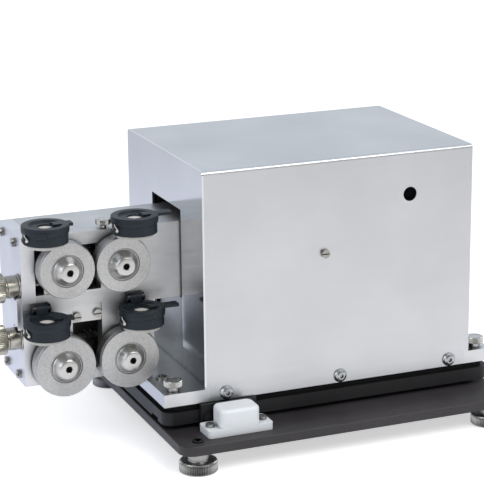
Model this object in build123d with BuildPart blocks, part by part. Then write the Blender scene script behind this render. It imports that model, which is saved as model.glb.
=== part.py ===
"""Haul-off rheometer: two pairs of counter-rotating wheels on an arm, a sliding housing and a base.

Millimetres, +Z up. The origin is on the bench, under the middle of the base plate. The wheels
face -Y, and the arm reaches out of the housing towards -X.
"""

import os
from math import atan2, cos, degrees, hypot, pi, sin

from build123d import *

os.makedirs("parts", exist_ok=True)

# Levelling feet
foot_disc_diameter = 26.0
foot_disc_height = 8.0
foot_edge_chamfer = 1.0
foot_flutes = 24
foot_flute_radius = 1.0
foot_neck_diameter = 14.0
foot_neck_height = 6.0
foot_stud_diameter = 8.0
foot_stud_proud = 1.0
foot_socket_flats = 4.0
foot_socket_depth = 4.0

# Base plate
base_length = 247.0
base_depth = 205.0
base_thickness = 6.5
base_corner = 10.0
base_edge_chamfer = 0.5
foot_inset_x = 14.0
foot_inset_y = 10.0

# Slide between base and carriage
slide_gap = 3.0
rail_width = 12.0
rail_groove = 2.0
rail_side_clearance = 0.1
rail_end_margin = 6.0
rail_spacing = 110.0
slide_travel = 15.0
keeper_shoulder_diameter = 8.0
keeper_head_diameter = 13.0
keeper_head_height = 4.0
keeper_slot_depth = 5.0
keeper_slot_clearance = 0.3
keeper_spacing = 130.0

# Carriage plate, damping mat and deck plate
carriage_depth = 150.0
carriage_thickness = 9.0
carriage_corner = 8.0
carriage_front_margin = 35.0
mat_thickness = 4.5
mat_inset = 3.0
deck_thickness = 9.0

# Position switch on the base and its actuator on the carriage
switch_left = -7.0
switch_flange_length = 46.5
switch_flange_depth = 19.0
switch_flange_thickness = 5.0
switch_body_length = 28.5
switch_body_height = 13.0
switch_to_carriage = 6.0
switch_edge_radius = 2.5
switch_screw_diameter = 6.0
switch_screw_height = 2.2
switch_screw_inset = 4.4
actuator_left = -4.0
actuator_length = 40.0
actuator_height = 13.5
actuator_thickness = 3.0
actuator_drop = 0.5
actuator_screw_x = 0.8

# Cover
cover_overhang = 29.0
cover_right_margin = 18.0
cover_depth = 148.0
cover_height = 150.0
sheet_thickness = 1.5
cover_bend_radius = 2.5
cover_side_lift = 18.0
tongue_inset = 3.3
cutout_front = 41.0
cutout_back = 97.7
cutout_top = 115.0
access_hole_diameter = 10.0
access_hole_x = 152.2
access_hole_z = 119.7
adjust_screw_x = 88.4
adjust_screw_z = 84.9
button_head_diameter = 9.5
button_head_height = 2.6
button_rim_height = 0.8
button_shoulder_height = 2.0
button_shoulder_diameter = 7.6
button_crown_diameter = 4.8
button_socket_flats = 3.0
button_inset = 15.6
button_drop = 4.0

# Inner side plate
side_plate_gap = 1.5
side_plate_thickness = 3.0
side_plate_end_inset = 3.0
side_plate_height = 120.0
side_plate_sill = 50.0

# Arm and head
arm_reach = 112.0
arm_front = 43.0
arm_depth = 52.0
arm_top = 107.0
arm_height = 53.0
head_bottom = 4.0
head_step = 20.0
arm_inner_end = 140.0
arm_front_wall = 10.0
arm_back_wall = 6.0
arm_wall = 4.0
head_floor = 3.5
end_plate_thickness = 9.5
end_plate_joint = 57.0
plate_joint_gap = 0.2
window_right = 57.0
upper_window_bottom = 66.5
upper_window_top = 98.3
lower_window_bottom = 11.0
lower_window_top = 44.3
tie_left = 77.5
tie_height = 12.4
tie_recess = 3.0
tie_set_back = 1.0
tie_left_screw_rise = 4.0
tie_right_screw_rise = 5.0
slot_screw_diameter = 6.0
slot_screw_height = 2.2
slot_screw_slot = 1.0
end_screw_front = 13.0
end_screw_back = 42.0
end_screw_rise = 5.5

# Wheels
strand_line = 64.2
upper_half_pitch = 19.45
lower_half_pitch = 22.45
upper_axis = 84.8
lower_axis = 18.6
upper_disc_diameter = 37.6
upper_drum_diameter = 38.4
lower_disc_diameter = 41.0
lower_drum_diameter = 42.0
wheel_face = 30.0
wheel_edge_chamfer = 0.4
disc_thickness = 2.0
drum_back = 41.0
drum_bore_diameter = 30.0
drum_web = 4.0
hub_length = 6.0
hub_diameter = 20.0
hub_nose_diameter = 13.0
hub_recess = 0.6
hub_rim_height = 0.4
hub_shoulder_height = 1.2
hub_groove_width = 1.0
hub_sleeve_diameter = 14.4
hub_screw_diameter = 4.3
hub_screw_depth = 5.0

# Spindles, gears and pulleys
spindle_diameter = 8.0
running_clearance = 0.05
spindle_end_gap = 1.0
gear_front = 70.0
gear_width = 8.0
gear_teeth = 12
gear_meshes = 3
tooth_addendum = 0.85
tooth_dedendum = 1.15
tooth_root_share = 1.22
tooth_tip_share = 0.5
idler_pin_diameter = 4.0
idler_end_gap = 0.3
idler_collar_length = 1.2
idler_collar_rise = 1.2
belt_pulley_front = 56.0
belt_pulley_width = 10.0
belt_pulley_radius = 8.0
flange_thickness = 1.0
flange_rise = 1.6
belt_thickness = 1.8
belt_running_gap = 0.3
belt_side_gap = 0.2
belt_rib_pitch = 5.0
belt_rib_width = 2.4
belt_rib_height = 1.0
belt_rib_root = 0.3
motor_pulley_front = 80.0
motor_pulley_width = 7.0
motor_pulley_radius = 6.0
driven_pulley_radius = 8.0

# Motor
motor_x = 105.0
motor_diameter = 36.0
motor_rear_clearance = 5.5
motor_flange = 42.0
motor_flange_thickness = 4.0
motor_shaft_diameter = 5.0
motor_shaft_engagement = 20.0
motor_shaft_hole = 10.0
motor_corner = 4.0

# Gap carriers and knobs
carrier_clearance = 0.1
carrier_left_of_axis = 13.0
upper_carrier_right = 10.5
lower_carrier_right = 9.0
carrier_face_set_back = 0.3
carrier_back = 68.0
carrier_lip = 3.0
gap_travel = 2.8
knob_depth = 51.0
upper_knob_axis = 72.5
lower_knob_axis = 36.5
knob_screw_diameter = 5.0
knob_screw_engagement = 9.0
knob_collar_diameter = 16.5
knob_collar_length = 10.0
knob_grip_diameter = 20.0
knob_grip_length = 14.0
knob_flutes = 16
knob_flute_radius = 0.9
knob_edge_chamfer = 1.0
saddle_thickness = 3.0
saddle_radius = 9.2
saddle_width = 12.0

# Felt holders
cap_diameter = 30.0
cap_height = 12.0
cap_lip_rise = 1.6
cap_lip_overhang = 0.8
cap_wall = 2.6
cap_dish_diameter = 20.0
cap_dish_depth = 1.4
cap_hole_diameter = 10.6
cap_edge_chamfer = 0.4
felt_depth = 8.5
felt_clearance = 0.05
felt_wheel_gap = 0.3
cap_depth = 26.8
holder_offsets = {"upper_left": -15.3, "upper_right": 7.1, "lower_left": -13.4, "lower_right": 7.5}
holder_rise = {"upper": 3.5, "lower": 3.6}
tab_lengths = {"upper_left": 3.0, "upper_right": 10.5, "lower_left": 3.0, "lower_right": 10.5}
tab_width = 7.0
tab_thickness = 2.0
hinge_pin_diameter = 3.0
hinge_barrel_diameter = 5.6
hinge_lug_width = 8.0
hinge_ear_width = 2.0
hinge_side_gap = 0.1
hinge_foot_thickness = 1.2
upper_hinge_depth = 47.0
upper_hinge_rise = 4.5
lower_hinge_depth = 39.6
lower_hinge_rise = 3.3

# Thumb screws
thumb_head_diameter = 12.6
thumb_head_height = 4.6
thumb_neck_diameter = 8.0
thumb_neck_height = 3.2
thumb_shank_diameter = 6.0
thumb_shank_length = 18.0
thumb_inset_x = 9.0
thumb_inset_y = 7.5
thumb_flutes = 16
thumb_flute_radius = 0.7
thumb_edge_chamfer = 0.5
arm_thumb_x = 53.0
arm_thumb_depth = 4.0
arm_thumb_head_diameter = 10.4
arm_thumb_head_height = 4.2
arm_thumb_neck_diameter = 4.3
arm_thumb_neck_height = 2.6
arm_thumb_shank_diameter = 3.3
arm_thumb_shank_length = 5.0
bush_diameter = 9.0
bush_bore = 6.0
bush_height = 1.2
bush_inset_x = 10.8
bush_depth_inset = 34.0

# Load cell and cable socket inside and behind the housing
cell_left = 40.0
cell_length = 70.0
cell_width = 30.0
cell_foot_length = 22.0
cell_foot_height = 12.0
cell_beam_height = 30.0
cell_hole_diameter = 18.0
cell_slot_height = 6.0
socket_x = 40.0
socket_z = 34.0
socket_flange = 24.0
socket_flange_thickness = 3.0
socket_corner = 3.0
socket_barrel_diameter = 17.0
socket_barrel_length = 12.0
socket_bore_diameter = 14.0
socket_bore_depth = 9.0

# Levels, counted up from the bench
base_bottom = foot_disc_height + foot_neck_height
base_top = base_bottom + base_thickness
carriage_bottom = base_top + slide_gap
carriage_top = carriage_bottom + carriage_thickness
deck_bottom = carriage_top + mat_thickness
deck_top = deck_bottom + deck_thickness

cover_length = base_length - cover_overhang - cover_right_margin

# The cover's front left lower corner on the deck is the datum of everything above the deck
datum_x = cover_overhang - base_length / 2
datum_y = carriage_front_margin - base_depth / 2
carriage_middle_y = datum_y + carriage_depth / 2


def at_x(distance):
    """World X of a distance right of the cover's left wall."""
    return datum_x + distance


def at_y(distance):
    """World Y of a distance behind the cover's front."""
    return datum_y + distance


def at_z(distance):
    """World Z of a distance above the deck."""
    return deck_top + distance


def slab(x_range, y_range, z_range, mode=Mode.ADD):
    """Add or cut a block between three pairs of limits."""
    x0, x1 = x_range
    y0, y1 = y_range
    z0, z1 = z_range
    with BuildSketch(Plane.XY.offset(z0)) as outline:
        with Locations(((x0 + x1) / 2, (y0 + y1) / 2)):
            Rectangle(x1 - x0, y1 - y0)
    extrude(outline.sketch, amount=z1 - z0, mode=mode)


def rod(start, direction, radius, length, mode=Mode.ADD):
    """Add or cut a cylinder that starts at a point and runs along a direction."""
    with Locations(Plane(origin=start, z_dir=direction)):
        Cylinder(radius, length, align=(Align.CENTER, Align.CENTER, Align.MIN), mode=mode)


def rod_x(y, z, x_range, radius, mode=Mode.ADD):
    """Add or cut a cylinder along +X."""
    rod((x_range[0], y, z), (1, 0, 0), radius, x_range[1] - x_range[0], mode)


def rod_y(x, z, y_range, radius, mode=Mode.ADD):
    """Add or cut a cylinder along +Y."""
    rod((x, y_range[0], z), (0, 1, 0), radius, y_range[1] - y_range[0], mode)


def rod_z(x, y, z_range, radius, mode=Mode.ADD):
    """Add or cut a cylinder along +Z."""
    rod((x, y, z_range[0]), (0, 0, 1), radius, z_range[1] - z_range[0], mode)


def profile_along_y(points, y_range, mode=Mode.ADD):
    """Add or cut an outline given in X and Z, pushed along Y."""
    y0, y1 = y_range
    with BuildSketch(Plane.XZ.offset(-y1)) as outline:
        with BuildLine():
            Polyline(points, close=True)
        make_face()
    extrude(outline.sketch, amount=y1 - y0, mode=mode)


def turned_y(x, z, points, mode=Mode.ADD):
    """Turn an outline of (radius, y) points about an axis along Y."""
    with BuildSketch(Plane.XY.offset(z)) as outline:
        with BuildLine():
            Polyline([(x + radius, y) for radius, y in points], close=True)
        make_face()
    revolve(outline.sketch, axis=Axis((x, 0, z), (0, 1, 0)), mode=mode)


def turned_z(x, y, points, mode=Mode.ADD):
    """Turn an outline of (radius, z) points about an axis along Z."""
    with BuildSketch(Plane.XZ.offset(-y)) as outline:
        with BuildLine():
            Polyline([(x + radius, z) for radius, z in points], close=True)
        make_face()
    revolve(outline.sketch, axis=Axis((x, y, 0), (0, 0, 1)), mode=mode)


def turned_x(y, z, points, mode=Mode.ADD):
    """Turn an outline of (x, radius) points about an axis along X."""
    with BuildSketch(Plane.XY.offset(z)) as outline:
        with BuildLine():
            Polyline([(x, y + radius) for x, radius in points], close=True)
        make_face()
    revolve(outline.sketch, axis=Axis((0, y, z), (1, 0, 0)), mode=mode)


def flutes_z(x, y, z_range, circle_radius, count, flute_radius):
    """Cut evenly spaced grip flutes into a disc that turns about Z."""
    z0, z1 = z_range
    with BuildSketch(Plane.XY.offset(z0)) as cutters:
        with Locations((x, y)):
            with PolarLocations(circle_radius, count):
                RegularPolygon(flute_radius, 4)
    extrude(cutters.sketch, amount=z1 - z0, mode=Mode.SUBTRACT)


def keep(part, name):
    """Label a finished piece and write it."""
    part.label = name
    export_step(part, f"parts/{name}.step")
    return part


# Base plate with its threaded foot holes
foot_places = {
    "foot_front_left": (-1, -1),
    "foot_front_right": (1, -1),
    "foot_rear_left": (-1, 1),
    "foot_rear_right": (1, 1),
}
foot_x = base_length / 2 - foot_inset_x
foot_y = base_depth / 2 - foot_inset_y
foot_hole_radius = foot_stud_diameter / 2 + running_clearance
rail_half = rail_spacing / 2
keeper_half = keeper_spacing / 2

with BuildPart() as base_plate:
    with BuildSketch(Plane.XY.offset(base_bottom)):
        RectangleRounded(base_length, base_depth, base_corner)
        with GridLocations(2 * foot_x, 2 * foot_y, 2, 2):
            Circle(foot_hole_radius, mode=Mode.SUBTRACT)
    extrude(amount=base_thickness)
    chamfer(base_plate.faces().sort_by(Axis.Z)[-1].outer_wire().edges(), length=base_edge_chamfer)
keep(base_plate.part, "base_plate")

with BuildPart() as guide_rails:
    with BuildSketch(Plane.XY.offset(base_top)):
        with Locations((0, carriage_middle_y - rail_half), (0, carriage_middle_y + rail_half)):
            Rectangle(base_length - 2 * rail_end_margin, rail_width)
    extrude(amount=slide_gap + rail_groove)
keep(guide_rails.part, "guide_rails")


def levelling_foot(name, side_x, side_y):
    """Knurled disc, neck and stud turned in one piece, with a hexagon socket in the stud."""
    x, y = side_x * foot_x, side_y * foot_y
    stud_top = base_top + foot_stud_proud
    disc = foot_disc_diameter / 2
    edge = foot_edge_chamfer
    with BuildPart() as foot:
        turned_z(x, y, [
            (0, 0), (disc - edge, 0), (disc, edge), (disc, foot_disc_height - edge),
            (disc - edge, foot_disc_height), (foot_neck_diameter / 2, foot_disc_height),
            (foot_neck_diameter / 2, base_bottom), (foot_stud_diameter / 2, base_bottom),
            (foot_stud_diameter / 2, stud_top), (0, stud_top),
        ])
        flutes_z(x, y, (0, foot_disc_height), disc, foot_flutes, foot_flute_radius)
        with BuildSketch(Plane.XY.offset(stud_top - foot_socket_depth)) as socket:
            with Locations((x, y)):
                RegularPolygon(foot_socket_flats / 2, 6, major_radius=False)
        extrude(socket.sketch, amount=foot_socket_depth, mode=Mode.SUBTRACT)
    return keep(foot.part, name)


for name, (side_x, side_y) in foot_places.items():
    levelling_foot(name, side_x, side_y)

# Carriage plate that slides on the rails, held down by shoulder screws in slots
slot_width = keeper_shoulder_diameter + 2 * keeper_slot_clearance
head_slot_width = keeper_head_diameter + 2 * keeper_slot_clearance
carriage_front = carriage_middle_y - carriage_depth / 2
thumb_x = base_length / 2 - thumb_inset_x
thumb_y = carriage_depth / 2 - thumb_inset_y
thumb_hole_radius = thumb_shank_diameter / 2 + running_clearance
keeper_seat = carriage_top - keeper_slot_depth
keeper_places = [(-keeper_half, carriage_middle_y), (keeper_half, carriage_middle_y)]

with BuildPart() as carriage_plate:
    with BuildSketch(Plane.XY.offset(carriage_bottom)):
        with Locations((0, carriage_middle_y)):
            RectangleRounded(base_length, carriage_depth, carriage_corner)
            with GridLocations(2 * thumb_x, 2 * thumb_y, 2, 2):
                Circle(thumb_hole_radius, mode=Mode.SUBTRACT)
        with Locations(*keeper_places):
            SlotOverall(slot_width + 2 * slide_travel, slot_width, mode=Mode.SUBTRACT)
    extrude(amount=carriage_thickness)
    with BuildSketch(Plane.XY.offset(keeper_seat)):
        with Locations(*keeper_places):
            SlotOverall(head_slot_width + 2 * slide_travel, head_slot_width)
    extrude(amount=keeper_slot_depth, mode=Mode.SUBTRACT)
    with BuildSketch(Plane.XY.offset(carriage_bottom)):
        with Locations((0, carriage_middle_y - rail_half), (0, carriage_middle_y + rail_half)):
            Rectangle(base_length, rail_width + 2 * rail_side_clearance)
    extrude(amount=rail_groove, mode=Mode.SUBTRACT)
keep(carriage_plate.part, "carriage_plate")

with BuildPart() as keeper_screws:
    for x, y in keeper_places:
        rod_z(x, y, (base_top, keeper_seat), keeper_shoulder_diameter / 2)
        rod_z(x, y, (keeper_seat, keeper_seat + keeper_head_height), keeper_head_diameter / 2)
keep(keeper_screws.part, "keeper_screws")

with BuildPart() as damping_mat:
    with BuildSketch(Plane.XY.offset(carriage_top)):
        with Locations((0, carriage_middle_y)):
            RectangleRounded(base_length - 2 * mat_inset, carriage_depth - 2 * mat_inset, carriage_corner)
            with GridLocations(2 * thumb_x, 2 * thumb_y, 2, 2):
                Circle(thumb_hole_radius, mode=Mode.SUBTRACT)
    extrude(amount=mat_thickness)
keep(damping_mat.part, "damping_mat")

# Deck plate, stepped back where the cover's front and back tongues lap over its edges
deck_front = at_y(0)
deck_back = deck_front + carriage_depth
cover_right = cover_length - tongue_inset
bush_places = [
    (side * (base_length / 2 - bush_inset_x), deck_front + inset)
    for side in (-1, 1)
    for inset in (bush_depth_inset, carriage_depth - bush_depth_inset)
]

with BuildPart() as deck_plate:
    with BuildSketch(Plane.XY.offset(deck_bottom)):
        with Locations((0, carriage_middle_y)):
            Rectangle(base_length, carriage_depth)
            with GridLocations(2 * thumb_x, 2 * thumb_y, 2, 2):
                Circle(thumb_hole_radius, mode=Mode.SUBTRACT)
    extrude(amount=deck_thickness)
    lap_x = (at_x(tongue_inset), at_x(cover_right))
    lap_z = (deck_bottom, deck_top)
    slab(lap_x, (deck_front, deck_front + sheet_thickness), lap_z, Mode.SUBTRACT)
    slab(lap_x, (at_y(cover_depth - sheet_thickness), deck_back), lap_z, Mode.SUBTRACT)
keep(deck_plate.part, "deck_plate")

with BuildPart() as deck_bushes:
    for x, y in bush_places:
        rod_z(x, y, (deck_top, deck_top + bush_height), bush_diameter / 2)
        rod_z(x, y, (deck_top, deck_top + bush_height), bush_bore / 2, Mode.SUBTRACT)
keep(deck_bushes.part, "deck_bushes")

# Position switch on the base, two screws through its ears, and the actuator on the carriage
switch_back = carriage_front - switch_to_carriage
switch_x = (at_x(switch_left), at_x(switch_left + switch_flange_length))
switch_y = (switch_back - switch_flange_depth, switch_back)
switch_middle = (switch_x[0] + switch_x[1]) / 2
switch_flange_top = base_top + switch_flange_thickness

with BuildPart() as switch_block:
    slab(switch_x, switch_y, (base_top, switch_flange_top))
    fillet(switch_block.edges().filter_by(Axis.Z), radius=switch_edge_radius)
    with BuildSketch(Plane.XY.offset(switch_flange_top)):
        with Locations((switch_middle, (switch_y[0] + switch_y[1]) / 2)):
            RectangleRounded(switch_body_length, switch_flange_depth, 2 * switch_edge_radius)
    extrude(amount=switch_body_height)
    fillet(switch_block.faces().sort_by(Axis.Z)[-1].edges(), radius=switch_edge_radius)
keep(switch_block.part, "switch_block")

with BuildPart() as switch_screws:
    for x in (switch_x[0] + switch_screw_inset, switch_x[1] - switch_screw_inset):
        rod_z(x, sum(switch_y) / 2, (switch_flange_top, switch_flange_top + switch_screw_height),
              switch_screw_diameter / 2)
keep(switch_screws.part, "switch_screws")

with BuildPart() as actuator:
    slab((at_x(actuator_left), at_x(actuator_left + actuator_length)),
         (carriage_front - actuator_thickness, carriage_front),
         (carriage_bottom - actuator_drop, carriage_bottom - actuator_drop + actuator_height))
    rod_y(at_x(actuator_screw_x), carriage_bottom + carriage_thickness / 2,
          (carriage_front - actuator_thickness - switch_screw_height, carriage_front - actuator_thickness),
          switch_screw_diameter / 2)
keep(actuator.part, "actuator")

# Sheet-metal cover: front, top, sides and back, with the arm's cut-out in the left side
front_in = at_y(sheet_thickness)
back_in = at_y(cover_depth - sheet_thickness)
left_in = at_x(sheet_thickness)
right_in = at_x(cover_length - sheet_thickness)
top_in = at_z(cover_height - sheet_thickness)
cover_x = (at_x(0), at_x(cover_length))
cover_y = (at_y(0), at_y(cover_depth))
cutout_y = (at_y(cutout_front), at_y(cutout_back))
button_places = [at_x(button_inset), at_x(cover_length / 2), at_x(cover_length - button_inset)]
button_z = deck_top - button_drop

with BuildPart() as cover:
    slab(cover_x, cover_y, (deck_bottom, at_z(cover_height)))
    fillet(cover.faces().sort_by(Axis.Z)[-1].edges().filter_by(Axis.X), radius=cover_bend_radius)
    slab((left_in, right_in), (front_in, back_in), (deck_bottom, top_in), Mode.SUBTRACT)
    for x_range in ((at_x(0), at_x(tongue_inset)), (at_x(cover_right), at_x(cover_length))):
        slab(x_range, cover_y, (deck_bottom, deck_top), Mode.SUBTRACT)
    for x_range in ((at_x(0), left_in), (right_in, at_x(cover_length))):
        slab(x_range, (front_in, back_in), (deck_top, at_z(cover_side_lift)), Mode.SUBTRACT)
    slab((at_x(0), left_in), cutout_y, (at_z(0), at_z(cutout_top)), Mode.SUBTRACT)
    rod_y(at_x(access_hole_x), at_z(access_hole_z), (cover_y[0], front_in),
          access_hole_diameter / 2, Mode.SUBTRACT)
    rod_y(at_x(socket_x), at_z(socket_z), (back_in, cover_y[1]), socket_barrel_diameter / 2, Mode.SUBTRACT)
keep(cover.part, "cover")

with BuildPart() as cover_screws:
    head = button_head_diameter / 2
    for x in button_places:
        for face, outward in ((at_y(0), -1), (at_y(cover_depth), 1)):
            crown = face + outward * button_head_height
            turned_y(x, button_z, [
                (0, face), (head, face), (head, face + outward * button_rim_height),
                (button_shoulder_diameter / 2, face + outward * button_shoulder_height),
                (button_crown_diameter / 2, crown), (0, crown),
            ])
            with BuildSketch(Plane.XZ.offset(-crown)) as socket:
                with Locations((x, button_z)):
                    RegularPolygon(button_socket_flats / 2, 6, major_radius=False)
            extrude(socket.sketch, amount=outward * button_head_height / 2, mode=Mode.SUBTRACT)
keep(cover_screws.part, "cover_screws")

# Inner side plate behind the cover's left side, cut out for the arm
side_plate_left = left_in + side_plate_gap
side_plate_x = (side_plate_left, side_plate_left + side_plate_thickness)
with BuildPart() as side_plate:
    slab(side_plate_x, (at_y(side_plate_end_inset), at_y(cover_depth - side_plate_end_inset)),
         (deck_top, at_z(side_plate_height)))
    slab(side_plate_x, cutout_y, (at_z(side_plate_sill), at_z(side_plate_height)), Mode.SUBTRACT)
keep(side_plate.part, "side_plate")

# Cable socket on the back of the cover
with BuildPart() as cable_socket:
    back = at_y(cover_depth)
    with BuildSketch(Plane.XZ.offset(-back - socket_flange_thickness)):
        with Locations((at_x(socket_x), at_z(socket_z))):
            RectangleRounded(socket_flange, socket_flange, socket_corner)
    extrude(amount=socket_flange_thickness)
    mouth = back + socket_barrel_length
    rod_y(at_x(socket_x), at_z(socket_z), (back_in, mouth), socket_barrel_diameter / 2)
    rod_y(at_x(socket_x), at_z(socket_z), (mouth - socket_bore_depth, mouth),
          socket_bore_diameter / 2, Mode.SUBTRACT)
keep(cable_socket.part, "cable_socket")

# Arm: one milled piece, walls around a cavity that is open to the back
arm_left = at_x(-arm_reach)
frame_left = arm_left + end_plate_thickness
arm_front_y = at_y(arm_front)
arm_back_y = arm_front_y + arm_depth
wall_back_y = arm_front_y + arm_front_wall
cavity_back_y = arm_back_y - arm_back_wall
arm_bottom_z = at_z(arm_top - arm_height)
arm_top_z = at_z(arm_top)
head_bottom_z = at_z(head_bottom)
head_right = at_x(-head_step)
arm_right = at_x(arm_inner_end)
windows_right = at_x(-window_right)
arm_thumb_place = (at_x(-arm_thumb_x), arm_front_y + arm_thumb_depth)
thumb_bore = arm_thumb_shank_diameter / 2 + running_clearance
axes = {
    "upper_left": (at_x(-strand_line - upper_half_pitch), at_z(upper_axis)),
    "upper_right": (at_x(-strand_line + upper_half_pitch), at_z(upper_axis)),
    "lower_left": (at_x(-strand_line - lower_half_pitch), at_z(lower_axis)),
    "lower_right": (at_x(-strand_line + lower_half_pitch), at_z(lower_axis)),
}
spindle_radius = spindle_diameter / 2
spindle_bore = spindle_radius + running_clearance
window_limits = {
    "upper": (at_z(upper_window_bottom), at_z(upper_window_top)),
    "lower": (at_z(lower_window_bottom), at_z(lower_window_top)),
}
knob_axes = {"upper": at_z(upper_knob_axis), "lower": at_z(lower_knob_axis)}
tie_x = (at_x(-tie_left), windows_right)
tie_z = (at_z(lower_window_top), at_z(lower_window_top + tie_height))
arm_outline = [
    (frame_left, head_bottom_z), (head_right, head_bottom_z), (head_right, arm_bottom_z),
    (arm_right, arm_bottom_z), (arm_right, arm_top_z), (frame_left, arm_top_z),
]
cavity_outline = [
    (frame_left, head_bottom_z + head_floor), (head_right - arm_wall, head_bottom_z + head_floor),
    (head_right - arm_wall, arm_bottom_z + arm_wall), (arm_right - arm_wall, arm_bottom_z + arm_wall),
    (arm_right - arm_wall, arm_top_z - arm_wall), (frame_left, arm_top_z - arm_wall),
]

with BuildPart() as arm_body:
    profile_along_y(arm_outline, (arm_front_y, cavity_back_y))
    profile_along_y(cavity_outline, (wall_back_y, cavity_back_y), Mode.SUBTRACT)
    for z_range in window_limits.values():
        slab((frame_left, windows_right), (arm_front_y, wall_back_y), z_range, Mode.SUBTRACT)
    slab(tie_x, (arm_front_y, arm_front_y + tie_recess + tie_set_back), tie_z, Mode.SUBTRACT)
    for name in ("upper_right", "lower_right"):
        x, z = axes[name]
        rod_y(x, z, (arm_front_y, wall_back_y), spindle_bore, Mode.SUBTRACT)
    rod_z(*arm_thumb_place, (arm_top_z - arm_thumb_shank_length, arm_top_z), thumb_bore, Mode.SUBTRACT)
keep(arm_body.part, "arm_body")

# Gear geometry: twelve straight teeth, four gears in a row between the two spindles of a pair
pitch_radii = {
    "upper": upper_half_pitch / gear_meshes,
    "lower": lower_half_pitch / gear_meshes,
}
gear_y = (at_y(gear_front), at_y(gear_front + gear_width))


def gear_blank(x, z, pitch_radius, phase):
    """Add a spur gear whose teeth start at a phase, counted in tooth pitches from +X."""
    module = 2 * pitch_radius / gear_teeth
    tip = pitch_radius + tooth_addendum * module
    root = pitch_radius - tooth_dedendum * module
    half_tooth = pi / (2 * gear_teeth)
    points = []
    for tooth in range(gear_teeth):
        middle = (tooth + phase) * 2 * pi / gear_teeth
        for radius, offset in (
            (root, -tooth_root_share), (tip, -tooth_tip_share),
            (tip, tooth_tip_share), (root, tooth_root_share),
        ):
            angle = middle + offset * half_tooth
            points.append((x + radius * cos(angle), z + radius * sin(angle)))
    profile_along_y(points, gear_y)


def gear_places(pair):
    """Centres of the two idlers of a pair, from right to left."""
    right_x, z = axes[f"{pair}_right"]
    step = 2 * pitch_radii[pair]
    return [(right_x - step, z), (right_x - 2 * step, z)]


# Back plate of the arm with the pressed idler pins
idler_pin_radius = idler_pin_diameter / 2
motor_axis_x = at_x(motor_x)
motor_axis_z = at_z(upper_axis)
motor_shaft_radius = motor_shaft_diameter / 2

with BuildPart() as arm_back:
    back_outline = [(arm_left + end_plate_thickness, head_bottom_z)] + arm_outline[1:]
    profile_along_y(back_outline, (cavity_back_y, arm_back_y))
    for name in ("upper_right", "lower_right"):
        x, z = axes[name]
        rod_y(x, z, (cavity_back_y, arm_back_y - spindle_end_gap), spindle_bore, Mode.SUBTRACT)
    rod_y(motor_axis_x, motor_axis_z, (cavity_back_y, arm_back_y), motor_shaft_hole / 2, Mode.SUBTRACT)
    for pair in ("upper", "lower"):
        for x, z in gear_places(pair):
            rod_y(x, z, (gear_y[0], cavity_back_y), idler_pin_radius)
            collar_y = gear_y[1] + idler_end_gap
            rod_y(x, z, (collar_y, collar_y + idler_collar_length), idler_pin_radius + idler_collar_rise)
keep(arm_back.part, "arm_back")

for pair in ("upper", "lower"):
    for number, (x, z) in enumerate(gear_places(pair)):
        with BuildPart() as idler:
            gear_blank(x, z, pitch_radii[pair], 0.5 if number == 0 else 0)
            rod_y(x, z, gear_y, idler_pin_radius + running_clearance, Mode.SUBTRACT)
        keep(idler.part, f"idler_{pair}_{('right', 'left')[number]}")

# End plates in two halves
joint_z = at_z(end_plate_joint)
end_plate_limits = {
    "upper": (joint_z + plate_joint_gap / 2, arm_top_z),
    "lower": (head_bottom_z, joint_z - plate_joint_gap / 2),
}
knob_y = at_y(knob_depth)
knob_screw_radius = knob_screw_diameter / 2

for pair in ("upper", "lower"):
    with BuildPart() as end_plate:
        slab((arm_left, frame_left), (arm_front_y, arm_back_y), end_plate_limits[pair])
        rod((arm_left, knob_y, knob_axes[pair]), (1, 0, 0), knob_screw_radius + running_clearance,
            end_plate_thickness, Mode.SUBTRACT)
    keep(end_plate.part, f"end_plate_{pair}")

# Saddle over the joint of the end plates, hollowed around the two knob collars
saddle_z = [knob_axes[pair] for pair in ("lower", "upper")]
with BuildPart() as joint_saddle:
    slab((arm_left - saddle_thickness, arm_left),
         (knob_y - saddle_width / 2, knob_y + saddle_width / 2), saddle_z)
    for z in saddle_z:
        rod((arm_left - saddle_thickness, knob_y, z), (1, 0, 0), saddle_radius, saddle_thickness,
            Mode.SUBTRACT)
keep(joint_saddle.part, "joint_saddle")

# Tie plate between the windows
tie_y = (arm_front_y + tie_set_back, arm_front_y + tie_set_back + tie_recess)
with BuildPart() as tie_plate:
    slab(tie_x, tie_y, tie_z)
keep(tie_plate.part, "tie_plate")

# Slotted cheese-head screws: four on the end plates, two on the tie plate, one in the cover
end_screw_places = [
    (arm_front_y + depth, z)
    for depth in (end_screw_front, end_screw_back)
    for z in (head_bottom_z + end_screw_rise, arm_top_z - end_screw_rise)
]
tie_screw_x = [tie_x[0] + slot_screw_diameter / 2, tie_x[1] - slot_screw_diameter / 2]
front_screw_places = [
    (tie_screw_x[0], tie_y[0], tie_z[0] + tie_left_screw_rise),
    (tie_screw_x[1], tie_y[0], tie_z[0] + tie_right_screw_rise),
    (at_x(adjust_screw_x), at_y(0), at_z(adjust_screw_z)),
]
half_slot = slot_screw_slot / 2
screw_radius = slot_screw_diameter / 2

with BuildPart() as slotted_screws:
    for y, z in end_screw_places:
        rod((arm_left - slot_screw_height, y, z), (1, 0, 0), screw_radius, slot_screw_height)
        slab((arm_left - slot_screw_height, arm_left - slot_screw_height / 2),
             (y - screw_radius, y + screw_radius), (z - half_slot, z + half_slot), Mode.SUBTRACT)
    for x, face, z in front_screw_places:
        rod_y(x, z, (face - slot_screw_height, face), screw_radius)
        slab((x - screw_radius, x + screw_radius), (face - slot_screw_height, face - slot_screw_height / 2),
             (z - half_slot, z + half_slot), Mode.SUBTRACT)
keep(slotted_screws.part, "slotted_screws")

# Carriers that hold the left spindles and slide in the windows
carrier_right = {"upper": upper_carrier_right, "lower": lower_carrier_right}

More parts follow.
